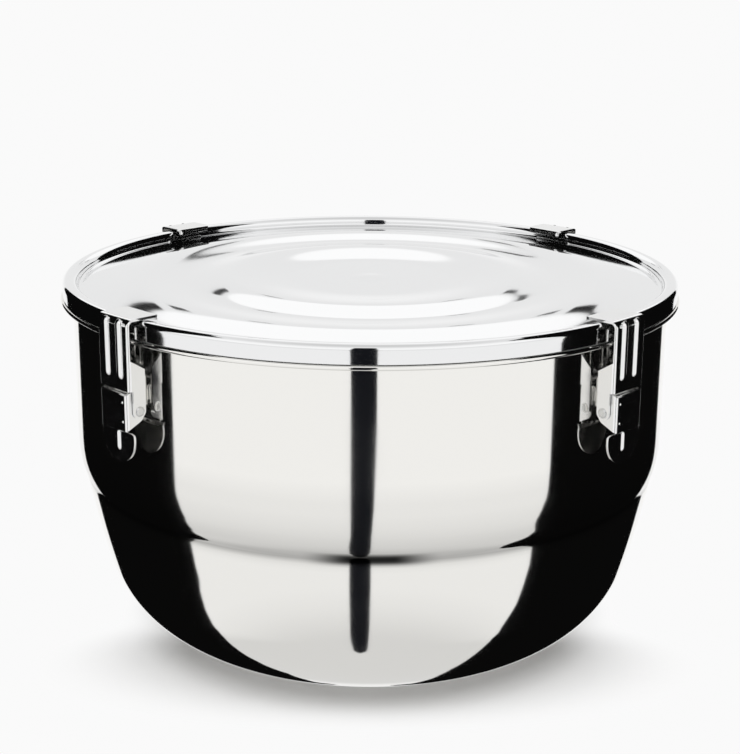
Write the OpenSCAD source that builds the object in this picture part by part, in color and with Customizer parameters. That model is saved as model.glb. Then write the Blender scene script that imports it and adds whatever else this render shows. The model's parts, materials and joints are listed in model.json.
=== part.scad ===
// Round stainless steel food container. A deep bowl with a nesting step, a flat lid with
// a soft seal in its raised ring, and draw latches that pull the lid down on the bowl.
// Millimetres. The origin is on the axis, at the level the foot stands on, with +Z up.

/* [Bowl] */
// Outer diameter of the bowl's straight wall
bowl_d = 223; // [210:1:240]
// Height of the flat rim that the seal rests on
bowl_h = 130.5; // [122:0.5:145]
// Thickness of the bowl's sheet
bowl_sheet = 0.8; // [0.6:0.1:0.9]
// Height of the nesting crease above the foot
step_h = 64.3; // [58:0.1:70]
// How far the wall has stepped in at the crease
step_in = 2.4; // [1.5:0.1:4]
// Height of the shoulder that curves in to the crease
shoulder_h = 21; // [14:0.5:24]
// How far the flat foot's edge lies inside the wall
foot_in = 49.2; // [46:0.2:56]
// Radius of the round corner between the foot and the side
corner_r = 40.5; // [36:0.5:44]
// Radius of the side's slight bulge between the crease and the round corner
side_r = 290; // [200:10:600]
// Width of the flat ring that the bowl stands on
kick_in = 8; // [6:0.5:20]
// Height of the raised middle of the foot
kick_h = 1.2; // [0.4:0.1:2]
// Radius where the wall turns out into the rim
mouth_r = 1; // [1:0.1:1.4]
// How far the rim's rolled bead lies outside the wall, to its centre
rim_reach = 3.5; // [3:0.1:4.5]
// Diameter of the rim's rolled bead
bead_d = 1.6; // [1.2:0.1:2]

/* [Lid] */
// Thickness of the lid's sheet
lid_sheet = 0.8; // [0.6:0.1:0.9]
// How far the lid's skirt stands outside the bowl's wall
lid_reach = 3.5; // [3:0.1:4.5]
// Height of the raised ring's crown above the bowl's rim
ring_h = 6.5; // [6:0.1:8]
// Width of the raised ring, skirt to inner wall
ring_w = 5.6; // [5.2:0.1:6.4]
// Radius of the ring's outer edge
ring_outer_r = 1.2; // [1:0.1:1.6]
// Radius of the ring's inner edge
ring_inner_r = 2.6; // [2.2:0.1:2.7]
// Depth of the panel below the ring's crown
panel_drop = 3.9; // [3.8:0.1:4.6]
// Radius between the ring's inner wall and the panel
panel_r = 1.2; // [1:0.1:1.2]
// Gap between the skirt's lower edge and the bowl's rim
skirt_gap = 0.3; // [0.2:0.1:1]
// How far the crest of the outer stiffening ridge lies inside the ring
ridge_1_in = 23.6; // [21:0.2:28]
// Width of the outer ridge's slope towards the ring
ridge_1_outer_w = 14.2; // [10:0.2:17]
// Width of the outer ridge's slope towards the middle
ridge_1_inner_w = 19.1; // [12:0.2:22]
// Height of the outer ridge
ridge_1_h = 1.9; // [0.6:0.1:2.2]
// How far the crest of the inner stiffening ridge lies inside the ring
ridge_2_in = 54.8; // [50:0.2:60]
// Width of the inner ridge's slope towards the ring
ridge_2_outer_w = 12.1; // [8:0.2:14]
// Width of the inner ridge's slope towards the middle
ridge_2_inner_w = 23; // [12:0.2:25]
// Height of the inner ridge
ridge_2_h = 1.75; // [0.6:0.05:2]
// Radius of the small dimple in the middle
dimple_r = 5; // [3:0.5:8]
// Depth of the small dimple
dimple_h = 0.5; // [0.2:0.1:0.8]

/* [Seal] */
// Gap between the seal and the ring's side walls
seal_gap = 0.3; // [0.2:0.05:0.5]
// Radius of the groove between the seal's two lips
seal_groove_r = 0.7; // [0.4:0.1:0.8]

/* [Latches] */
// Number of latches
latch_count = 4; // [2:1:6]
// Direction of the first latch from +X
latch_start = 45; // [0:5:90]
// Width of a latch's hook
latch_w = 16.4; // [15:0.2:20]
// Thickness of the latches' sheet
latch_sheet = 0.8; // [0.6:0.1:0.9]
// Radius where a latch's face turns into its sides
fold_r = 1.2; // [1:0.1:1.6]
// Diameter of the pivot pins
pin_d = 2.5; // [2:0.1:2.8]
// Radial gap between a pin and its holes
pin_gap = 0.05; // [0.02:0.01:0.08]
// Gap between neighbouring side plates
side_gap = 0.2; // [0.15:0.05:0.4]
// How far the pivots lie outside the bowl's wall
pivot_out = 3.7; // [3.6:0.1:4.2]
// Gap between the side plates' rear edges and the bowl's wall
wall_gap = 1.3; // [1.1:0.1:1.5]

/* [Hook] */
// How far the hook's face stands outside the lid's skirt
hook_stand = 4.2; // [4:0.1:4.8]
// Distance from the ring's crown down to the hook's pivot
hook_pivot_drop = 30.2; // [29:0.2:32]
// Distance from the ring's crown down to the lower edge of the hook's face
hook_face_drop = 23; // [22:0.2:23.4]
// Gap between the hook's roof and the ring's crown
roof_gap = 0.3; // [0.2:0.05:0.5]
// Radius of the bend between face and roof
roof_bend_r = 2.4; // [2:0.1:2.8]
// Gap between the hook's lip and the ring's inner wall
lip_gap = 2.5; // [2.4:0.1:3]
// How far the lip reaches below the ring's crown
lip_drop = 1.1; // [0.6:0.1:1.2]
// Inner radius of the bend between roof and lip
lip_bend_r = 0.4; // [0.3:0.1:0.6]
// Radius of the roof's two free corners
claw_corner_r = 2; // [1:0.5:4]
// Distance from the ring's crown down to the side plates, at the front
side_front_drop = 12.1; // [11:0.1:14]
// Distance from the ring's crown down to the side plates, at the rear
side_rear_drop = 16.2; // [15:0.1:18]
// Distance between the two pressed ribs
rib_pitch = 6.9; // [6:0.1:8]
// Radius of a pressed rib's round section
rib_r = 2.1; // [1.8:0.1:2.4]
// How far a pressed rib stands proud of the face
rib_proud = 0.9; // [0.5:0.1:1.1]
// Distance from the ring's crown down to the ribs' lower end
rib_end_drop = 19.8; // [17:0.2:20.4]

/* [Lever] */
// Distance between the lever's pivot and the hook's pivot
arm = 6; // [5.8:0.1:6.2]
// How far the lever's face stands outside the hook's face
lever_stand = 0.7; // [0.5:0.1:0.9]
// Gap between the hook's face and the lever's face, top to bottom
face_gap = 1.4; // [1.2:0.1:2]
// Height of the lever's face
lever_face_h = 12.2; // [11:0.1:14]
// How much shorter the lever's side plates are at the rear
side_rise = 2.2; // [1:0.1:3]
// Radius of the side plates' lower rear corner
side_corner_r = 3; // [2:0.5:3.5]
// How far the thumb tab is set back behind the lever's face
tab_set = 1.6; // [1:0.1:2]
// Width of the thumb tab
tab_w = 17.4; // [15:0.2:19]
// Distance from the lower end of the lever's face to the tab's end
tab_h = 11.9; // [11:0.1:14]
// Radius of the tab rib's round section
tab_rib_r = 1.9; // [1.6:0.1:2.2]
// How far the tab's rib stands proud
tab_rib_proud = 0.7; // [0.4:0.1:0.9]
// Length of the tab's rib between its round ends
tab_rib_l = 4.4; // [3:0.1:5]
// Distance from the lower end of the lever's face down to the middle of the tab's rib
tab_rib_drop = 4.3; // [4:0.1:6]
// Radius of the two cross beads on the lever's face
bead_r = 0.6; // [0.4:0.1:0.8]
// How far the cross beads stand proud
bead_proud = 0.3; // [0.2:0.05:0.5]
// Distance from the top of the lever's face down to its upper cross bead
bead_drop = 2.4; // [2:0.2:4]
// Distance between the two cross beads
bead_pitch = 6.6; // [5:0.2:8]
// Distance from the lever's sides to the ends of the cross beads
bead_in = 2.2; // [1.6:0.2:4]

/* [Hidden] */
function part_of_latch(k) = [for (piece = ["bracket", "lever", "hook", "lever_pin", "hook_pin"])
    str("latch_", k, "_", piece)];
$fn = 64;
arc_steps = 10;
tiny = 0.02;

wall_r = bowl_d / 2;
foot_r = wall_r - foot_in;
kick_r = foot_r - kick_in;
crease = [wall_r - step_in, step_h];
lid_r = wall_r + lid_reach;
crown_z = bowl_h + ring_h;
ring_in = lid_r - ring_w;
panel_z = crown_z - panel_drop;

hook_x = lid_r + hook_stand;
lever_x = hook_x + lever_stand;
tab_x = lever_x - tab_set;
rear_x = wall_r + wall_gap;
hook_pivot = [wall_r + pivot_out, -hook_pivot_drop];
lever_pivot = hook_pivot + [0, arm];
eye_r = hook_pivot.x - rear_x;
lip_x = ring_in - lip_gap;
lever_top = -hook_face_drop - face_gap;
lever_end = lever_top - lever_face_h;
tab_end = lever_end - tab_h;
lever_w = latch_w - 2 * (latch_sheet + side_gap);
bracket_w = lever_w - 2 * (latch_sheet + side_gap);

// Points along an arc about c, from angle a to angle b
function arc(c, r, a, b, steps = arc_steps) =
    [for (i = [0:steps]) c + r * [cos(a + (b - a) * i / steps), sin(a + (b - a) * i / steps)]];
// The same points from last to first
function backwards(points) = [for (i = [len(points) - 1:-1:0]) points[i]];
// The bearing of point p from c
function bearing(c, p) = atan2(p.y - c.y, p.x - c.x);

// The shoulder leaves the wall upright and bends in until it meets the crease
shoulder_turn = 2 * atan(step_in / shoulder_h);
shoulder_r = shoulder_h / sin(shoulder_turn);
shoulder_c = [wall_r - shoulder_r, step_h + shoulder_h];
// The side is one long arc from the crease that runs smoothly into the round corner. Its centre
// lies where both of its distances are known: from the crease, and from the corner's centre.
corner_c = [foot_r, corner_r];
reach = norm(crease - corner_c);
side_bend = acos((reach * reach + side_r * side_r - (side_r - corner_r) * (side_r - corner_r))
    / (2 * reach * side_r));
side_bearing = bearing(crease, corner_c) - side_bend;
side_c = crease + side_r * [cos(side_bearing), sin(side_bearing)];
corner_start = bearing(side_c, corner_c);
mouth_c = [wall_r - bowl_sheet + mouth_r, bowl_h - mouth_r];
// The rolled bead runs from the rim's upper face round to its lower face
bead_c = [wall_r + rim_reach, bowl_h - bead_d / 2];
bead_rise = asin(1 - 2 * bowl_sheet / bead_d);

// One face of the bowl's sheet from the rim to the middle, "t" inside the outer face
function bowl_face(t) = concat(
    arc(mouth_c, mouth_r - bowl_sheet + t, 90, 180, 6),
    arc(shoulder_c, shoulder_r - t, 0, -shoulder_turn),
    arc(side_c, side_r - t, bearing(side_c, crease), corner_start),
    arc(corner_c, corner_r - t, corner_start, -90, 16),
    [[kick_r, t], [kick_r - 2 * kick_h, t + kick_h], [0, t + kick_h]]);

module bowl() {
    color([0.86, 0.87, 0.88])
        rotate_extrude($fn = 120)
            polygon(concat(
                arc(bead_c, bead_d / 2, 90, -180 - bead_rise, 14),
                bowl_face(0), backwards(bowl_face(bowl_sheet))));
}

// Height at radius r of a smooth ridge with its crest at c, as a share of its full height
function ridge(r, c, inner_w, outer_w) =
    let (w = r < c ? inner_w : outer_w) abs(r - c) < w ? (1 + cos(180 * (r - c) / w)) / 2 : 0;
function panel_rise(r) = ridge_1_h * ridge(r, ring_in - ridge_1_in, ridge_1_inner_w, ridge_1_outer_w)
    + ridge_2_h * ridge(r, ring_in - ridge_2_in, ridge_2_inner_w, ridge_2_outer_w)
    - dimple_h * ridge(r, 0, dimple_r, dimple_r);
panel_edge = ring_in - panel_r - 1;
panel_steps = 44;

// One face of the lid's sheet from the skirt's edge to the middle, "t" below the upper face
function lid_face(t) = concat(
    [[lid_r - t, bowl_h + skirt_gap]],
    arc([lid_r - ring_outer_r, crown_z - ring_outer_r], ring_outer_r - t, 0, 90, 6),
    arc([ring_in + ring_inner_r, crown_z - ring_inner_r], ring_inner_r - t, 90, 180, 8),
    arc([ring_in - panel_r, panel_z + panel_r], panel_r + t, 0, -90, 6),
    [for (i = [0:panel_steps]) let (r = panel_edge * (1 - i / panel_steps)) [r, panel_z - t + panel_rise(r)]]);

module lid() {
    color([0.9, 0.9, 0.91])
        rotate_extrude($fn = 120)
            polygon(concat(lid_face(0), backwards(lid_face(lid_sheet))));
}

// The seal fills the channel under the ring: flat on the lid above, two lips on the rim below
seal_in = ring_in + lid_sheet + seal_gap;
seal_out = lid_r - lid_sheet - seal_gap;
seal_top = crown_z - lid_sheet;
seal_round = ring_inner_r - lid_sheet;

module gasket() {
    color([0.8, 0.82, 0.84])
        rotate_extrude($fn = 120)
            difference() {
                polygon(concat(
                    [[seal_in, bowl_h], [seal_out, bowl_h], [seal_out, seal_top - seal_gap]],
                    [[seal_out - seal_gap, seal_top]],
                    arc([seal_in + seal_round, seal_top - seal_round], seal_round, 90, 180, 6)));
                translate([(seal_in + seal_out) / 2, bowl_h]) circle(seal_groove_r);
            }
}

// Latch pieces are drawn with x outward, y along the rim and z up from the ring's crown
module at_latch(k) {
    rotate([0, 0, latch_start + 360 / latch_count * (k - 1)])
        translate([0, 0, crown_z])
            children();
}

// A side view, points [x, z], made w wide across the latch
module side_plate(w) {
    rotate([90, 0, 0])
        translate([0, 0, -w / 2])
            linear_extrude(w)
                children();
}

// A sheet folded into three sides round a width w, with its face at x, seen from above
module channel(x, w, bottom, top) {
    inner_w = w - 2 * latch_sheet;
    translate([0, 0, bottom])
        linear_extrude(top - bottom)
            difference() {
                folded_outline(x, w, fold_r);
                folded_outline(x - latch_sheet, inner_w, fold_r - latch_sheet);
            }
}

module folded_outline(x, w, r) {
    translate([rear_x, -w / 2]) square([x - r - rear_x, w]);
    translate([rear_x, r - w / 2]) square([x - rear_x, w - 2 * r]);
    for (s = [-1, 1])
        translate([x - r, s * (w / 2 - r)]) circle(r);
}

// A round bar with ball ends, clipped so that only what is in front of x = back is left
module pressed_rib(r, from, to, back) {
    intersection() {
        union() {
            translate(from) sphere(r);
            translate(to) sphere(r);
            along = to - from;
            if (abs(along.z) > abs(along.y))
                translate([from.x, from.y, min(from.z, to.z)]) cylinder(r = r, h = abs(along.z));
            else
                translate([from.x, min(from.y, to.y), from.z])
                    rotate([-90, 0, 0]) cylinder(r = r, h = abs(along.y));
        }
        translate([back, -latch_w, from.z - 2 * latch_w]) cube([4 * r, 2 * latch_w, 4 * latch_w]);
    }
}

module pin_hole(pivot) {
    translate([pivot.x, 0, pivot.y])
        rotate([90, 0, 0])
            cylinder(d = pin_d + 2 * pin_gap, h = 2 * latch_w, center = true);
}

// The bracket is spot welded to the wall: a curved plate with two ears that carry the pin
plate_half_h = 5;
ear_half_h = 3.6;
ear_gap = 0.1;

module bracket() {
    color([0.72, 0.73, 0.75])
        difference() {
            union() {
                intersection() {
                    difference() {
                        cylinder_at(wall_r + latch_sheet + tiny);
                        cylinder_at(wall_r + tiny);
                    }
                    translate([0, -bracket_w / 2, lever_pivot.y - plate_half_h])
                        cube([lid_r, bracket_w, 2 * plate_half_h]);
                }
                intersection() {
                    side_plate(bracket_w) ear_outline();
                    for (s = [-1, 1])
                        translate([wall_r, s * (bracket_w - latch_sheet) / 2, lever_pivot.y])
                            cube([4 * pivot_out, latch_sheet, 4 * plate_half_h], center = true);
                }
            }
            pin_hole(lever_pivot);
        }
}

module cylinder_at(r) {
    translate([0, 0, lever_pivot.y - 2 * plate_half_h])
        cylinder(r = r, h = 4 * plate_half_h, $fn = 120);
}

module ear_outline() {
    root_x = wall_r + latch_sheet / 2;
    polygon(concat(
        [[root_x, lever_pivot.y - ear_half_h]],
        arc(lever_pivot, eye_r - ear_gap, -65, 65),
        [[root_x, lever_pivot.y + ear_half_h]]));
}

// The lever is a folded channel that turns on the bracket, with a set-back thumb tab
module lever() {
    color([0.76, 0.77, 0.79])
        difference() {
            union() {
                intersection() {
                    channel(lever_x, lever_w, lever_end - 1, lever_pivot.y + 2 * eye_r);
                    side_plate(lever_w) lever_side();
                }
                thumb_tab();
                for (z = [lever_top - bead_drop, lever_top - bead_drop - bead_pitch])
                    pressed_rib(bead_r, [lever_x + bead_proud - bead_r, bead_in - lever_w / 2, z],
                        [lever_x + bead_proud - bead_r, lever_w / 2 - bead_in, z], lever_x - latch_sheet / 2);
            }
            pin_hole(lever_pivot);
            pin_hole(hook_pivot);
        }
}

module lever_side() {
    foot_c = [rear_x + side_corner_r, lever_end + side_rise + side_corner_r];
    polygon(concat(
        [[lever_x, lever_end], [lever_x, lever_top]],
        arc(lever_pivot, eye_r, 30, 180),
        arc(foot_c, side_corner_r, 180, 250)));
}

// The tab leaves the lever's face by a short slope. Its outline is a half round with a neck
neck_h = 3;

module thumb_tab() {
    neck_half_w = lever_w / 2 - fold_r;
    slope_top = latch_sheet / 2;
    slope_back = slope_top - tab_set;
    intersection() {
        side_plate(tab_w) polygon([
            [lever_x, lever_end + latch_sheet], [lever_x, lever_end + slope_top],
            [tab_x, lever_end + slope_back], [tab_x, tab_end], [tab_x - latch_sheet, tab_end],
            [tab_x - latch_sheet, lever_end + slope_back - 0.3],
            [lever_x - latch_sheet, lever_end + slope_top - 0.3],
            [lever_x - latch_sheet, lever_end + latch_sheet]]);
        rotate([90, 0, 90])
            linear_extrude(lever_x + 1)
                union() {
                    intersection() {
                        translate([0, tab_end + tab_w / 2]) circle(tab_w / 2);
                        translate([-tab_w / 2, tab_end]) square([tab_w, tab_h - slope_top]);
                    }
                    translate([-neck_half_w, lever_end - neck_h]) square([2 * neck_half_w, neck_h + 1]);
                }
    }
    rib_c = [tab_x + tab_rib_proud - tab_rib_r, 0, lever_end - tab_rib_drop];
    pressed_rib(tab_rib_r, rib_c + [0, 0, tab_rib_l / 2], rib_c - [0, 0, tab_rib_l / 2], tab_x - latch_sheet / 2);
}

// The hook is a strap bent over the ring, with two side plates that hang on the lever
module hook() {
    color([0.82, 0.83, 0.85])
        difference() {
            union() {
                intersection() {
                    side_plate(latch_w) hook_strap();
                    translate([0, 0, -hook_face_drop]) linear_extrude(2 * hook_face_drop) hook_plan();
                }
                intersection() {
                    channel(hook_x, latch_w, hook_pivot.y - 2 * eye_r, 0);
                    side_plate(latch_w) hook_side();
                }
                for (s = [-1, 1])
                    pressed_rib(rib_r, rib_centre(s, -rib_end_drop + rib_r), rib_centre(s, -rib_r / 2),
                        hook_x - latch_sheet / 2);
            }
            for (s = [-1, 1])
                rib_hollow(s);
            pin_hole(hook_pivot);
        }
}

function rib_centre(side, z) = [hook_x + rib_proud - rib_r, side * rib_pitch / 2, z];

// The pressed ribs are hollow behind
module rib_hollow(side) {
    hollow_r = rib_r - latch_sheet;
    low = rib_centre(side, -rib_end_drop + rib_r);
    translate(low) sphere(hollow_r);
    translate(low) cylinder(r = hollow_r, h = rib_end_drop - rib_r - roof_bend_r - 1);
}

module hook_strap() {
    roof_z = roof_gap + latch_sheet;
    bend_c = [hook_x - roof_bend_r, roof_z - roof_bend_r];
    lip_c = [lip_x + lip_bend_r, roof_gap - lip_bend_r];
    tip_c = [lip_x - latch_sheet / 2, latch_sheet / 2 - lip_drop];
    polygon(concat(
        [[hook_x, -hook_face_drop]],
        arc(bend_c, roof_bend_r, 0, 90),
        arc(lip_c, lip_bend_r + latch_sheet, 90, 180, 6),
        arc(tip_c, latch_sheet / 2, 180, 360, 6),
        arc(lip_c, lip_bend_r, 180, 90, 6),
        arc(bend_c, roof_bend_r - latch_sheet, 90, 0),
        [[hook_x - latch_sheet, -hook_face_drop]]));
}

// The strap seen from above, with round free corners and the folds' corners at its face
module hook_plan() {
    start = lip_x - latch_sheet;
    corner = latch_w / 2 - claw_corner_r;
    translate([start + claw_corner_r, -latch_w / 2])
        square([hook_x - fold_r - start - claw_corner_r, latch_w]);
    translate([start, -corner]) square([hook_x - fold_r - start, 2 * corner]);
    translate([start, fold_r - latch_w / 2]) intersection() {
        square([hook_x - start, latch_w - 2 * fold_r]);
        translate([hook_x - start - 2 * fold_r, 0]) square([2 * fold_r, latch_w]);
    }
    for (s = [-1, 1]) {
        translate([start + claw_corner_r, s * corner]) circle(claw_corner_r);
        translate([hook_x - fold_r, s * (latch_w / 2 - fold_r)]) circle(fold_r);
    }
}

module hook_side() {
    tongue_x = hook_pivot.x + eye_r;
    polygon(concat(
        [[hook_x, -hook_face_drop], [hook_x, -side_front_drop], [rear_x, -side_rear_drop]],
        arc(hook_pivot, eye_r, 180, 360),
        [[tongue_x, -hook_face_drop]]));
}

// The bracket's pin is riveted flush, so that the hook's side plates pass over it
module lever_pin() {
    color([0.6, 0.61, 0.63])
        translate([lever_pivot.x, 0, lever_pivot.y])
            rotate([90, 0, 0])
                cylinder(d = pin_d, h = lever_w, center = true);
}

// The hook's pin runs right through the latch and has a low head on each side
module hook_pin() {
    head_h = 0.5;
    head_d = pin_d + 1.2;
    color([0.6, 0.61, 0.63])
        translate([hook_pivot.x, 0, hook_pivot.y]) {
            rotate([90, 0, 0]) cylinder(d = pin_d, h = latch_w, center = true);
            for (s = [-1, 1])
                rotate([-90 * s, 0, 0])
                    translate([0, 0, latch_w / 2])
                        cylinder(d1 = head_d, d2 = pin_d, h = head_h);
        }
}

bowl();
lid();
gasket();
for (k = [1:latch_count]) {
    at_latch(k) bracket();
    at_latch(k) lever();
    at_latch(k) hook();
    at_latch(k) lever_pin();
    at_latch(k) hook_pin();
}
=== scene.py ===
import json
from math import radians, sin, cos, tan, acos, atan, atan2, pi

import bmesh
import bpy
from mathutils import Matrix, Vector

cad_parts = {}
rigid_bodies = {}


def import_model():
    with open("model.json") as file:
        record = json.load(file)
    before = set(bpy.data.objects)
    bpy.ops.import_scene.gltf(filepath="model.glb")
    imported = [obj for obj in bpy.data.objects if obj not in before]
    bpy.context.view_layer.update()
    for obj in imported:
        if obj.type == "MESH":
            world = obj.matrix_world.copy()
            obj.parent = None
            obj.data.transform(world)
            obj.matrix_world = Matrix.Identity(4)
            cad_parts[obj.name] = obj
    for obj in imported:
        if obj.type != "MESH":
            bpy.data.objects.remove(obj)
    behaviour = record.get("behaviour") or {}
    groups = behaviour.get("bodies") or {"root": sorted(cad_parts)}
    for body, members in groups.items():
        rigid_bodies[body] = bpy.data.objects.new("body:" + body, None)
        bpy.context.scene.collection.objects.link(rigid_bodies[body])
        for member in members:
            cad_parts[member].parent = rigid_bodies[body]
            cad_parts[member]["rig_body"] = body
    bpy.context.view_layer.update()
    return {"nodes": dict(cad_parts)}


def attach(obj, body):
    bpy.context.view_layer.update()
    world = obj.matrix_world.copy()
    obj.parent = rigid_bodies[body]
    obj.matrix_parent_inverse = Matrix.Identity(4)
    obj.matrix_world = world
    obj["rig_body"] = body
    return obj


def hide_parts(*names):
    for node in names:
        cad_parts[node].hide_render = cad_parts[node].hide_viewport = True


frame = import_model()

# The photographer's camera stands straight in front of the container and looks down on it
# a little. It was fitted to the lid's ring, the crease and the four latches.
scene = bpy.context.scene
camera_turn, camera_dip, camera_roll = radians(-0.46), radians(14.12), radians(0.35)
camera_away, camera_up = 0.5383, 0.2508
camera = bpy.data.objects.new("photo_camera", bpy.data.cameras.new("photo_camera"))
scene.collection.objects.link(camera)
camera.data.sensor_width = 36
camera.data.lens = 68.94
camera.data.shift_y = -0.0729
camera.data.clip_start = 0.01
camera.location = (camera_away * sin(camera_turn), -camera_away * cos(camera_turn), camera_up)
camera.rotation_euler = (Matrix.Rotation(camera_turn, 3, "Z")
                         @ Matrix.Rotation(radians(90) - camera_dip, 3, "X")
                         @ Matrix.Rotation(camera_roll, 3, "Z")).to_euler()
scene.camera = camera

# The studio is white all round, greyer far under the table and overhead, and whitest in a band
# 20 to 34 degrees up. A wide soft light hangs over the table, a little to the front. Its light
# and the room's own together fall on the floor as strongly as the paper there is white.
scene.view_settings.view_transform = "Standard"
paper_white = 0.955
room_share = 0.2
lamp_tilt, lamp_spread = radians(18), radians(60)
wall_levels = ((-57, 0.77), (-54, 0.84), (-51, 0.91), (-47, 0.965), (-36, 0.975), (-28, 1.02),
               (0, 1.02), (8, 0.93), (19.9, 0.93), (20.1, 1.15), (34, 1.15), (50, 1.02),
               (68, 0.84), (90, 0.72))


def grey_ramp(nodes, stops):
    """A colour ramp of greys. Each stop gives its place from 0 to 1 and its tone."""
    ramp = nodes.new("ShaderNodeValToRGB")
    ramp.color_ramp.elements.remove(ramp.color_ramp.elements[1])
    ramp.color_ramp.elements[0].position = 0
    ramp.color_ramp.elements[0].color = (*[stops[0][1]] * 3, 1)
    for position, tone in stops:
        ramp.color_ramp.elements.new(position).color = (tone, tone, tone, 1)
    return ramp


world = bpy.data.worlds.new("white_studio")
world.use_nodes = True
nodes, links = world.node_tree.nodes, world.node_tree.links
room = nodes["Background"]
room.inputs["Color"].default_value = (paper_white, paper_white, paper_white, 1)
seen = nodes.new("ShaderNodeLightPath")
reflected = nodes.new("ShaderNodeMath")
reflected.operation = "MAXIMUM"
links.new(seen.outputs["Is Glossy Ray"], reflected.inputs[0])
links.new(seen.outputs["Is Transmission Ray"], reflected.inputs[1])
direction = nodes.new("ShaderNodeTexCoord")
height = nodes.new("ShaderNodeSeparateXYZ")
links.new(direction.outputs["Generated"], height.inputs[0])
rise = nodes.new("ShaderNodeMapRange")
rise.inputs["From Min"].default_value = -1
walls = grey_ramp(nodes, [((1 + sin(radians(up))) / 2, level) for up, level in wall_levels])
links.new(height.outputs["Z"], rise.inputs["Value"])
links.new(rise.outputs[0], walls.inputs["Fac"])
backdrop = nodes.new("ShaderNodeMix")
backdrop.inputs["A"].default_value = room_share / paper_white
backdrop.inputs["B"].default_value = 1
links.new(seen.outputs["Is Camera Ray"], backdrop.inputs["Factor"])
shown = nodes.new("ShaderNodeMix")
links.new(reflected.outputs[0], shown.inputs["Factor"])
links.new(backdrop.outputs["Result"], shown.inputs["A"])
links.new(walls.outputs["Color"], shown.inputs["B"])
links.new(shown.outputs["Result"], room.inputs["Strength"])
scene.world = world
overhead = bpy.data.objects.new("overhead_light", bpy.data.lights.new("overhead_light", "SUN"))
overhead.data.energy = pi * (1 - room_share) / cos(lamp_tilt)
overhead.data.angle = lamp_spread
overhead.rotation_euler = (lamp_tilt, 0, 0)
overhead.visible_glossy = False
scene.collection.objects.link(overhead)


def stage_piece(name, bm, material):
    """A stage object from a finished bmesh."""
    mesh = bpy.data.meshes.new(name)
    bm.to_mesh(mesh)
    bm.free()
    mesh.materials.append(material)
    piece = bpy.data.objects.new(name, mesh)
    scene.collection.objects.link(piece)
    return piece


def plain_material(name, colour, roughness, metallic=0.0):
    """A node material that starts as one even surface."""
    material = bpy.data.materials.new(name)
    material.use_nodes = True
    shader = material.node_tree.nodes["Principled BSDF"]
    shader.inputs["Base Color"].default_value = (*colour, 1)
    shader.inputs["Roughness"].default_value = roughness
    shader.inputs["Metallic"].default_value = metallic
    return material, shader


# White paper lies under the container and keeps its soft shadow. Away from the foot the paper
# shows its own white, as if more light reached it, and in front the shadow fades more slowly.
# The shadow is kept within two ovals that run into each other.
ovals = (((0, -0.055, 0), (0.125, 0.05)), ((0, 0, 0), (0.1, 0.1)))
oval_blend, shadow_whole, shadow_gone = 0.3, 0.3, 0.95
paper, shader = plain_material("white_paper", (paper_white,) * 3, 1.0)
shader.inputs["Specular IOR Level"].default_value = 0
nodes, links = paper.node_tree.nodes, paper.node_tree.links
place = nodes.new("ShaderNodeTexCoord")
fades = []
for middle, (half_width, half_depth) in ovals:
    shift = nodes.new("ShaderNodeVectorMath")
    shift.operation = "SUBTRACT"
    shift.inputs[1].default_value = middle
    scale = nodes.new("ShaderNodeVectorMath")
    scale.operation = "MULTIPLY"
    scale.inputs[1].default_value = (1 / half_width, 1 / half_depth, 0)
    square = nodes.new("ShaderNodeVectorMath")
    square.operation = "DOT_PRODUCT"
    links.new(place.outputs["Object"], shift.inputs[0])
    links.new(shift.outputs[0], scale.inputs[0])
    links.new(scale.outputs[0], square.inputs[0])
    links.new(scale.outputs[0], square.inputs[1])
    fades.append(square)
nearer = nodes.new("ShaderNodeMath")
nearer.operation = "SMOOTH_MIN"
nearer.inputs[2].default_value = oval_blend
for fade, socket in zip(fades, nearer.inputs):
    links.new(fade.outputs["Value"], socket)
lit = nodes.new("ShaderNodeMapRange")
lit.interpolation_type = "SMOOTHSTEP"
lit.inputs["From Min"].default_value = shadow_whole
lit.inputs["From Max"].default_value = shadow_gone
seen = nodes.new("ShaderNodeLightPath")
share = nodes.new("ShaderNodeMath")
share.operation = "MULTIPLY"
own_white = nodes.new("ShaderNodeEmission")
own_white.inputs["Color"].default_value = (paper_white, paper_white, paper_white, 1)
both = nodes.new("ShaderNodeMixShader")
links.new(nearer.outputs[0], lit.inputs["Value"])
links.new(lit.outputs[0], share.inputs[0])
links.new(seen.outputs["Is Camera Ray"], share.inputs[1])
links.new(share.outputs[0], both.inputs[0])
links.new(shader.outputs[0], both.inputs[1])
links.new(own_white.outputs[0], both.inputs[2])
links.new(both.outputs[0], nodes["Material Output"].inputs["Surface"])
bm = bmesh.new()
bmesh.ops.create_circle(bm, cap_ends=True, radius=12, segments=96)
floor = stage_piece("paper_floor", bm, paper)
floor.visible_glossy = False

# Black cards stand three metres away, out of the picture: a wide one at each side, a narrow one
# in front, where the camera looks through, and short bars behind. The wide and the narrow ones
# go on flat below the table. Only polished metal sees them.
far = 3.0


def card_colour(name, colour):
    """An even dark that doesn't depend on the lamps."""
    material, shader = plain_material(name, (0, 0, 0), 1.0)
    shader.inputs["Specular IOR Level"].default_value = 0
    shader.inputs["Emission Color"].default_value = (*colour, 1)
    shader.inputs["Emission Strength"].default_value = 1
    return material


def only_in_reflections(card):
    """Hides a card from all rays but those that a polished face sends back."""
    card.visible_camera = card.visible_diffuse = card.visible_shadow = False
    card.visible_transmission = card.visible_volume_scatter = False


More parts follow.
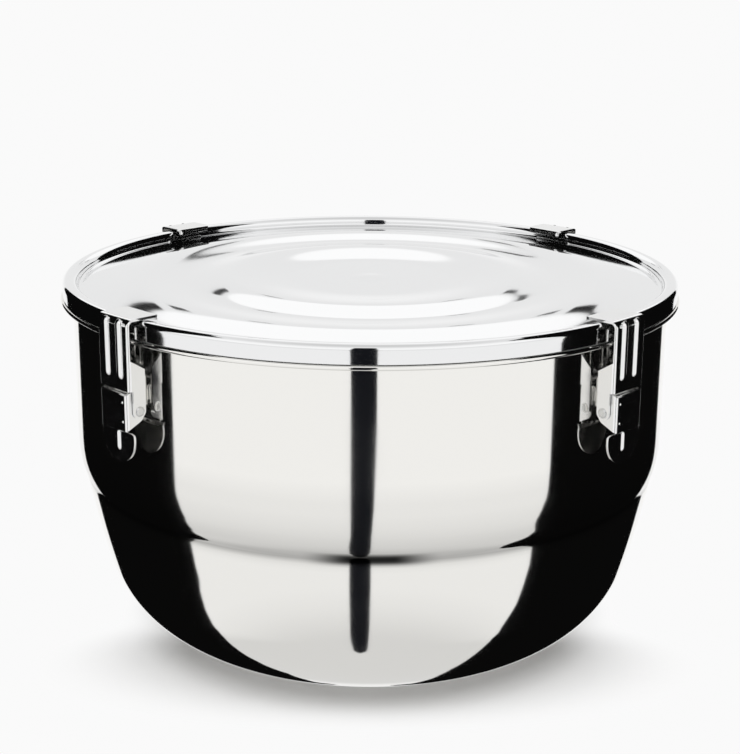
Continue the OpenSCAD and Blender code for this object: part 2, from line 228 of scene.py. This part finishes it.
def upright_card(name, rows, colour):
    """A card between two edges. Each row gives the bearings of both, counted from the camera's
    side, and the elevation, all in degrees."""
    bm = bmesh.new()
    edges = []
    for side in (0, 1):
        edge = []
        for row in rows:
            bearing, elevation = radians(row[side]), radians(row[2])
            edge.append(bm.verts.new((far * sin(bearing), -far * cos(bearing),
                                      far * tan(elevation))))
        edges += [bm.edges.new(pair) for pair in zip(edge, edge[1:])]
    bmesh.ops.bridge_loops(bm, edges=edges)
    only_in_reflections(stage_piece(name, bm, colour))


def low_card(name, corners, colour):
    """A flat card below the table, given by its corners in plan."""
    bm = bmesh.new()
    bm.faces.new([bm.verts.new((far * x, far * y, -far)) for x, y in corners])
    only_in_reflections(stage_piece(name, bm, colour))


black = card_colour("black_card", (0.003, 0.003, 0.003))
blue_black = card_colour("blue_black_card", (0.008, 0.0085, 0.011))
upright_card("left_card", [(-77, -147, 55), (-77, -147, -18), (-76.3, -147, -22),
                           (-76.4, -147, -24), (-76.7, -150, -27), (-77.3, -156, -30),
                           (-79, -165, -33), (-80.2, -175, -36), (-81.5, -177, -38.5),
                           (-82.3, -177, -40.5), (-84.5, -177, -42), (-86.5, -177, -45)], black)
upright_card("right_card", [(69.3, 147, 55), (69.5, 147, -17.5), (67.6, 147, -21),
                            (67.2, 147, -24), (67, 150, -27), (67.8, 156, -30),
                            (69.3, 165, -33), (71.5, 175, -36), (73.2, 177, -38.5),
                            (73.6, 177, -40.5), (74, 177, -42), (74.45, 177, -45)], black)
upright_card("front_gap", [(-7, 2.2, 50), (-7, 2.2, -16), (-7, 1.4, -19), (-7, 1, -21),
                           (-7.3, 0.6, -30), (-8, 0.5, -37), (-9, 0.5, -45)], blue_black)
rear_bars = ((165.6, 167.6, 22, 19.9), (168.8, 170, 21.3, 19.8), (174.2, 175.4, 19.9, 18.9))
for k, turned in enumerate((1, -1)):
    for part, (start, end, top, bottom) in enumerate(rear_bars):
        edges = sorted((180 + turned * (start - 180), 180 + turned * (end - 180)))
        upright_card("rear_bar_%d_%d" % (k + 1, part + 1), [(*edges, top), (*edges, bottom)],
                     black)
low_card("left_low_card", [(-0.998, -0.061), (-0.92, -0.06), (-0.85, -0.05), (-0.74, 0.01),
                           (-0.55, 0.15), (-0.38, 0.3), (-0.3, 0.4), (-0.22, 0.5),
                           (-0.14, 0.75), (-0.05, 1.2), (-1.3, 1.2), (-1.3, -0.061)], black)
low_card("right_low_card", [(0.963, -0.268), (0.82, -0.27), (0.73, -0.255), (0.63, -0.175),
                            (0.53, -0.08), (0.44, 0.02), (0.36, 0.13), (0.28, 0.26),
                            (0.21, 0.44), (0.14, 0.72), (0.05, 1.2), (1.3, 1.2),
                            (1.3, -0.268)], black)
low_card("front_low_gap", [(-0.156, -0.988), (0.009, -1.0), (0.002, -0.74), (-0.006, -0.64),
                           (-0.014, -0.55), (-0.05, -0.5), (-0.086, -0.55), (-0.102, -0.63),
                           (-0.12, -0.68)], blue_black)

# The bowl is one sheet of stainless steel, drawn deep in a press, with a nesting step in its
# side and a flat rim rolled over at the edge. It is polished like a mirror outside.
mm = 0.001
wall_r, bowl_h, sheet = 111.5, 130.5, 0.8
mouth_r, rim_reach, bead_r = 1.0, 3.5, 0.8
wall_top, wall_ring, wall_rings = 129, 5, 9
step_h, step_in, shoulder_h, shoulder_growth, shoulder_steps = 64.3, 2.4, 21.0, 3.9, 24
foot_r, corner_r, side_r = wall_r - 49.2, 40.5, 290.0
kick_r, kick_h = foot_r - 8, 1.2
kick_bend = ((1, 0), (-1, 0.2), (-3, kick_h - 0.2), (-5, kick_h))


def arc(centre, r, start, end, steps):
    """Points [radius, height] along an arc, angles in radians."""
    return [(centre[0] + r * cos(start + (end - start) * i / steps),
             centre[1] + r * sin(start + (end - start) * i / steps)) for i in range(steps + 1)]


crease = Vector((wall_r - step_in, step_h))
corner_c = Vector((foot_r, corner_r))
to_corner = corner_c - crease
reach = to_corner.length
side_bend = acos((reach ** 2 + side_r ** 2 - (side_r - corner_r) ** 2) / (2 * reach * side_r))
side_bearing = atan2(to_corner.y, to_corner.x) - side_bend
side_c = crease + side_r * Vector((cos(side_bearing), sin(side_bearing)))
side_start = atan2(crease.y - side_c.y, crease.x - side_c.x)
corner_start = atan2(corner_c.y - side_c.y, corner_c.x - side_c.x)


def shoulder_face(t):
    """The shoulder turns in faster and faster down to the crease."""
    points = []
    for i in range(shoulder_steps + 1):
        down = i / shoulder_steps
        tilt = atan(shoulder_growth * step_in / shoulder_h * down ** (shoulder_growth - 1))
        points.append((wall_r - step_in * down ** shoulder_growth - t * cos(tilt),
                       step_h + shoulder_h * (1 - down) + t * sin(tilt)))
    return points


def bowl_face(t):
    """One face of the sheet from the rim to the middle, t inside the outer face. The middle of
    the foot is pushed up a little, so that the container stands on a ring."""
    return (arc((wall_r - sheet + mouth_r, bowl_h - mouth_r), mouth_r - sheet + t, pi / 2, pi, 6)
            + [(wall_r - t, wall_top - wall_ring * i) for i in range(wall_rings)]
            + shoulder_face(t)
            + arc(side_c, side_r - t, side_start, corner_start, 22)
            + arc(corner_c, corner_r - t, corner_start, -pi / 2, 30)[1:]
            + [(kick_r + out, t + up) for out, up in kick_bend] + [(0, t + kick_h)])


def spun_piece(name, outline, material, around, sharp):
    """A closed outline [radius, height] in millimetres turned once round the axis."""
    bm = bmesh.new()
    points = [bm.verts.new((r * mm, 0, z * mm)) for r, z in outline]
    for a, b in zip(points, points[1:] + points[:1]):
        bm.edges.new((a, b))
    bmesh.ops.spin(bm, geom=bm.verts[:] + bm.edges[:], axis=(0, 0, 1), cent=(0, 0, 0),
                   angle=2 * pi, steps=around, use_merge=True)
    bmesh.ops.remove_doubles(bm, verts=bm.verts, dist=2e-7)
    bmesh.ops.dissolve_degenerate(bm, dist=1e-7, edges=bm.edges)
    bmesh.ops.recalc_face_normals(bm, faces=bm.faces)
    return shown_piece(name, bm, material, sharp)


def shown_piece(name, bm, material, sharp):
    """An object from a finished bmesh, smooth but for edges sharper than that many degrees."""
    mesh = bpy.data.meshes.new(name)
    bm.to_mesh(mesh)
    bm.free()
    mesh.shade_smooth()
    mesh.set_sharp_from_angle(angle=radians(sharp))
    mesh.materials.append(material)
    piece = bpy.data.objects.new(name, mesh)
    scene.collection.objects.link(piece)
    return piece


def fine_bumps(nodes, links, grain, shader, depth, distance):
    """The grain stands up from the face by a hair."""
    bump = nodes.new("ShaderNodeBump")
    bump.inputs["Strength"].default_value = depth
    bump.inputs["Distance"].default_value = distance
    links.new(grain.outputs[0], bump.inputs["Height"])
    links.new(bump.outputs[0], shader.inputs["Normal"])


def dull_patches(nodes, links, place, shader, scale, detail, rough_low, rough_high):
    """Soft patches that are a little duller than the rest."""
    patches = nodes.new("ShaderNodeTexNoise")
    patches.inputs["Scale"].default_value = scale
    patches.inputs["Detail"].default_value = detail
    spread = nodes.new("ShaderNodeMapRange")
    spread.inputs["From Min"].default_value = 0.35
    spread.inputs["From Max"].default_value = 0.65
    spread.inputs["To Min"].default_value = rough_low
    spread.inputs["To Max"].default_value = rough_high
    links.new(place.outputs["Object"], patches.inputs["Vector"])
    links.new(patches.outputs[0], spread.inputs["Value"])
    links.new(spread.outputs[0], shader.inputs["Roughness"])


def spun_lines(material, shader, per_mm, depth, rough_low, rough_high):
    """Fine rings left by polishing on a lathe, and soft patches that are a little duller."""
    nodes, links = material.node_tree.nodes, material.node_tree.links
    place = nodes.new("ShaderNodeTexCoord")
    split = nodes.new("ShaderNodeSeparateXYZ")
    flat = nodes.new("ShaderNodeCombineXYZ")
    radius = nodes.new("ShaderNodeVectorMath")
    radius.operation = "LENGTH"
    rings = nodes.new("ShaderNodeCombineXYZ")
    grain = nodes.new("ShaderNodeTexNoise")
    grain.inputs["Scale"].default_value = per_mm / mm
    grain.inputs["Detail"].default_value = 2
    links.new(place.outputs["Object"], split.inputs[0])
    links.new(split.outputs["X"], flat.inputs["X"])
    links.new(split.outputs["Y"], flat.inputs["Y"])
    links.new(flat.outputs[0], radius.inputs[0])
    links.new(radius.outputs["Value"], rings.inputs["X"])
    links.new(split.outputs["Z"], rings.inputs["Z"])
    links.new(rings.outputs[0], grain.inputs["Vector"])
    fine_bumps(nodes, links, grain, shader, depth, distance=0.02 * mm)
    dull_patches(nodes, links, place, shader, 35, 5, rough_low, rough_high)


mirror_steel, shader = plain_material("mirror_steel", (0.885, 0.875, 0.845), 0.06, metallic=1.0)
spun_lines(mirror_steel, shader, per_mm=1.2, depth=0.04, rough_low=0.045, rough_high=0.07)
# Painted shade darkens the steel in the crease and just above it. The shade changes between these
# two heights only.
shade_low, shade_high = 58, 92
nodes, links = mirror_steel.node_tree.nodes, mirror_steel.node_tree.links
place = nodes.new("ShaderNodeTexCoord")
split = nodes.new("ShaderNodeSeparateXYZ")
level = nodes.new("ShaderNodeMapRange")
level.inputs["From Min"].default_value = shade_low * mm
level.inputs["From Max"].default_value = shade_high * mm
links.new(place.outputs["Object"], split.inputs[0])
links.new(split.outputs["Z"], level.inputs["Value"])


def by_height(stops):
    """A grey that changes with the height in millimetres."""
    ramp = grey_ramp(nodes, [((z - shade_low) / (shade_high - shade_low), tone)
                             for z, tone in stops])
    links.new(level.outputs[0], ramp.inputs["Fac"])
    return ramp


# Painted shade, darkest right at the crease and fading out above and below it.
painted_crease_shade = by_height(((59, 1), (60.5, 0.97), (61.8, 0.9), (62.5, 0.78), (63.2, 0.63), (63.9, 0.52),
                   (64.4, 0.6), (65.2, 0.68), (66.8, 0.76), (68.2, 0.75), (69.3, 0.765),
                   (70.4, 0.79), (72.5, 0.83), (74.7, 0.85), (80, 0.91), (84, 0.92), (91, 1)))
# The painted shade multiplies the steel's own colour.
shaded_steel = nodes.new("ShaderNodeMix")
shaded_steel.data_type = "RGBA"
shaded_steel.blend_type = "MULTIPLY"
shaded_steel.inputs["Factor"].default_value = 1
shaded_steel.inputs["A"].default_value = shader.inputs["Base Color"].default_value
links.new(painted_crease_shade.outputs["Color"], shaded_steel.inputs["B"])
# Between the latches a painted dark reflection lies right in the crease. It thins out as it nears
# them.
line_whole, line_gone = 0.007, 0.024
# Painted dark reflection, by height across the crease.
painted_dark_reflection = by_height(((61.2, 1), (62, 0.78), (62.7, 0.41), (63.1, 0.18), (63.5, 0.07),
                       (64.4, 0.03), (65.2, 0.05), (65.6, 0.13), (65.9, 0.29), (66.3, 0.55),
                       (66.9, 1)))
aside = nodes.new("ShaderNodeMath")
aside.operation = "MINIMUM"
for axis, socket in (("X", aside.inputs[0]), ("Y", aside.inputs[1])):
    across = nodes.new("ShaderNodeMath")
    across.operation = "ABSOLUTE"
    links.new(split.outputs[axis], across.inputs[0])
    links.new(across.outputs[0], socket)
reflection_mask = nodes.new("ShaderNodeMapRange")
reflection_mask.interpolation_type = "SMOOTHSTEP"
reflection_mask.inputs["From Min"].default_value = line_whole
reflection_mask.inputs["From Max"].default_value = line_gone
reflection_mask.inputs["To Min"].default_value = 1
reflection_mask.inputs["To Max"].default_value = 0
links.new(aside.outputs[0], reflection_mask.inputs["Value"])
# The painted dark reflection darkens the steel midway between the latches.
with_painted_reflection = nodes.new("ShaderNodeMix")
with_painted_reflection.data_type = "RGBA"
with_painted_reflection.blend_type = "MULTIPLY"
links.new(reflection_mask.outputs[0], with_painted_reflection.inputs["Factor"])
links.new(shaded_steel.outputs["Result"], with_painted_reflection.inputs["A"])
links.new(painted_dark_reflection.outputs["Color"], with_painted_reflection.inputs["B"])
links.new(with_painted_reflection.outputs["Result"], shader.inputs["Base Color"])
bead_c = (wall_r + rim_reach, bowl_h - bead_r)
bowl_outline = arc(bead_c, bead_r, pi / 2, -pi, 14) + bowl_face(0) + bowl_face(sheet)[::-1]
bowl = spun_piece("bowl_shell", bowl_outline, mirror_steel, around=240, sharp=30)
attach(bowl, "container")
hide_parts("bowl")

# The lid is pressed from one flat stainless sheet: a raised ring round its edge that takes the
# seal, and a lower panel with two soft ridges that stiffen it. Only the latches hold it down.
# Its polish is a little greyer than the bowl's.
lid_r, crown_z, ring_w = wall_r + 3.5, bowl_h + 6.5, 5.6
ring_in, skirt_low, skirt_high = lid_r - ring_w, bowl_h + 0.3, bowl_h + 2.8
panel_z, panel_round, ring_outer, ring_inner = crown_z - 3.9, 1.2, 2.1, 2.6
flanks = ((0, 0), (29.4, 0), (53.5, 1.95), (69, 0.4), (85.5, 1.75), (105, 0.1), (120, 0.1))
boss_r, boss_h = 9, 0.35
round_step, round_count, panel_steps = 0.4, 4, 132


def flank_height(r):
    """Height on the flanks of the ridges, which are steepest half way up."""
    for (near, low), (out, high) in zip(flanks, flanks[1:]):
        if near <= r <= out:
            part = (r - near) / (out - near)
            return low + (high - low) * (part + (1 - cos(pi * part)) / 2) / 2


def panel_rise(r):
    """The same with its corners rounded, and the low boss in the middle."""
    beside = range(-round_count, round_count + 1)
    rise = sum(flank_height(abs(r + round_step * i)) for i in beside) / len(beside)
    return rise + (boss_h * (1 + cos(pi * r / boss_r)) / 2 if r < boss_r else 0)


def panel_face(t):
    """The panel from the ring's foot to the middle, with its ridges and the low boss."""
    edge = ring_in - panel_round - 1
    radii = [edge * (1 - i / panel_steps) for i in range(panel_steps + 1)]
    return [(r, panel_z - t + panel_rise(r)) for r in radii]


def lid_face(t):
    """One face of the lid from the skirt's lower edge to the middle, t below the upper face."""
    return ([(lid_r - t, skirt_low), (lid_r - t, skirt_high)]
            + arc((lid_r - ring_outer, crown_z - ring_outer), ring_outer - t, 0, pi / 2, 8)
            + arc((ring_in + ring_inner, crown_z - ring_inner), ring_inner - t, pi / 2, pi, 12)
            + arc((ring_in - panel_round, panel_z + panel_round), panel_round + t, 0, -pi / 2, 8)
            + panel_face(t))


satin_steel, shader = plain_material("satin_steel", (0.86, 0.863, 0.867), 0.06, metallic=1.0)
spun_lines(satin_steel, shader, per_mm=0.9, depth=0.04, rough_low=0.05, rough_high=0.07)
lid = spun_piece("lid_shell", lid_face(0) + lid_face(sheet)[::-1], satin_steel, around=240,
                 sharp=40)
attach(lid, "container")
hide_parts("lid")

# The seal is a moulded silicone ring, pushed into the channel under the lid's ring. It rests on
# the rim with two lips, one each side of a shallow groove.
silicone, shader = plain_material("milky_silicone", (0.80, 0.82, 0.83), 0.42)
shader.inputs["Subsurface Weight"].default_value = 0.3
shader.inputs["Subsurface Radius"].default_value = (0.002, 0.002, 0.002)
spun_lines(silicone, shader, per_mm=0.5, depth=0.15, rough_low=0.36, rough_high=0.5)
seal_gap, seal_cut, groove_r = 0.3, 0.6, 0.7
seal_in, seal_out, seal_top = ring_in + sheet + seal_gap, lid_r - sheet - seal_gap, crown_z - sheet
seal_mid, seal_round = (seal_in + seal_out) / 2, ring_inner - sheet
seal_outline = ([(seal_in, bowl_h), (seal_mid - groove_r, bowl_h)]
                + arc((seal_mid, bowl_h), groove_r, pi, 0, 8)[1:-1]
                + [(seal_mid + groove_r, bowl_h), (seal_out, bowl_h),
                   (seal_out, seal_top - seal_cut), (seal_out - seal_cut, seal_top)]
                + arc((seal_in + seal_round, seal_top - seal_round), seal_round, pi / 2, pi, 8))
seal = spun_piece("seal_ring", seal_outline, silicone, around=180, sharp=30)
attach(seal, "container")
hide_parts("gasket")

# Four draw latches stand round the rim. Each has a bracket welded to the wall, a lever and a
# hook, blanked and folded from thin stainless sheet, and two turned rivets as pivots. Their cut
# edges are tumbled round.
flat_angle, edge_angle, sharp_angle = 1.0, 32, 50


def tumbled_copy(node, name, material, edge):
    """The CAD solid with its outer edges rounded off, which then stands for it."""
    bm = bmesh.new()
    bm.from_mesh(frame["nodes"][node].data)
    bmesh.ops.remove_doubles(bm, verts=bm.verts, dist=1e-6)
    bmesh.ops.dissolve_limit(bm, angle_limit=radians(flat_angle), verts=bm.verts, edges=bm.edges)
    rims = [e for e in bm.edges if len(e.link_faces) == 2 and e.is_convex
            and e.calc_face_angle(0) > radians(edge_angle)]
    bmesh.ops.bevel(bm, geom=rims, offset=edge * mm, offset_type="OFFSET", affect="EDGES",
                    segments=2, profile=0.5, material=-1, clamp_overlap=True)
    piece = shown_piece(name, bm, material, sharp_angle)
    flat_faces = piece.modifiers.new("flat_faces", "WEIGHTED_NORMAL")
    flat_faces.weight = 100
    flat_faces.keep_sharp = True
    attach(piece, frame["nodes"][node]["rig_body"])
    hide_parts(node)


def rolled_grain(material, shader, depth, rough_low, rough_high):
    """The faint mottle of tumbled sheet, with patches that are a little duller."""
    nodes, links = material.node_tree.nodes, material.node_tree.links
    place = nodes.new("ShaderNodeTexCoord")
    mottle = nodes.new("ShaderNodeTexNoise")
    mottle.inputs["Scale"].default_value = 900
    mottle.inputs["Detail"].default_value = 4
    links.new(place.outputs["Object"], mottle.inputs["Vector"])
    fine_bumps(nodes, links, mottle, shader, depth, distance=0.05 * mm)
    dull_patches(nodes, links, place, shader, 160, 3, rough_low, rough_high)


pressed_steel, shader = plain_material("pressed_steel", (0.86, 0.86, 0.855), 0.12, metallic=1.0)
rolled_grain(pressed_steel, shader, depth=0.12, rough_low=0.09, rough_high=0.16)
rivet_steel, shader = plain_material("rivet_steel", (0.7, 0.7, 0.69), 0.25, metallic=1.0)
rolled_grain(rivet_steel, shader, depth=0.2, rough_low=0.2, rough_high=0.32)
for k in (1, 2, 3, 4):
    tumbled_copy("latch_%d_bracket" % k, "bracket_%d" % k, pressed_steel, 0.12)
    tumbled_copy("latch_%d_lever" % k, "lever_%d" % k, pressed_steel, 0.14)
    tumbled_copy("latch_%d_hook" % k, "hook_%d" % k, pressed_steel, 0.14)
    tumbled_copy("latch_%d_lever_pin" % k, "lever_rivet_%d" % k, rivet_steel, 0.2)
    tumbled_copy("latch_%d_hook_pin" % k, "hook_rivet_%d" % k, rivet_steel, 0.2)
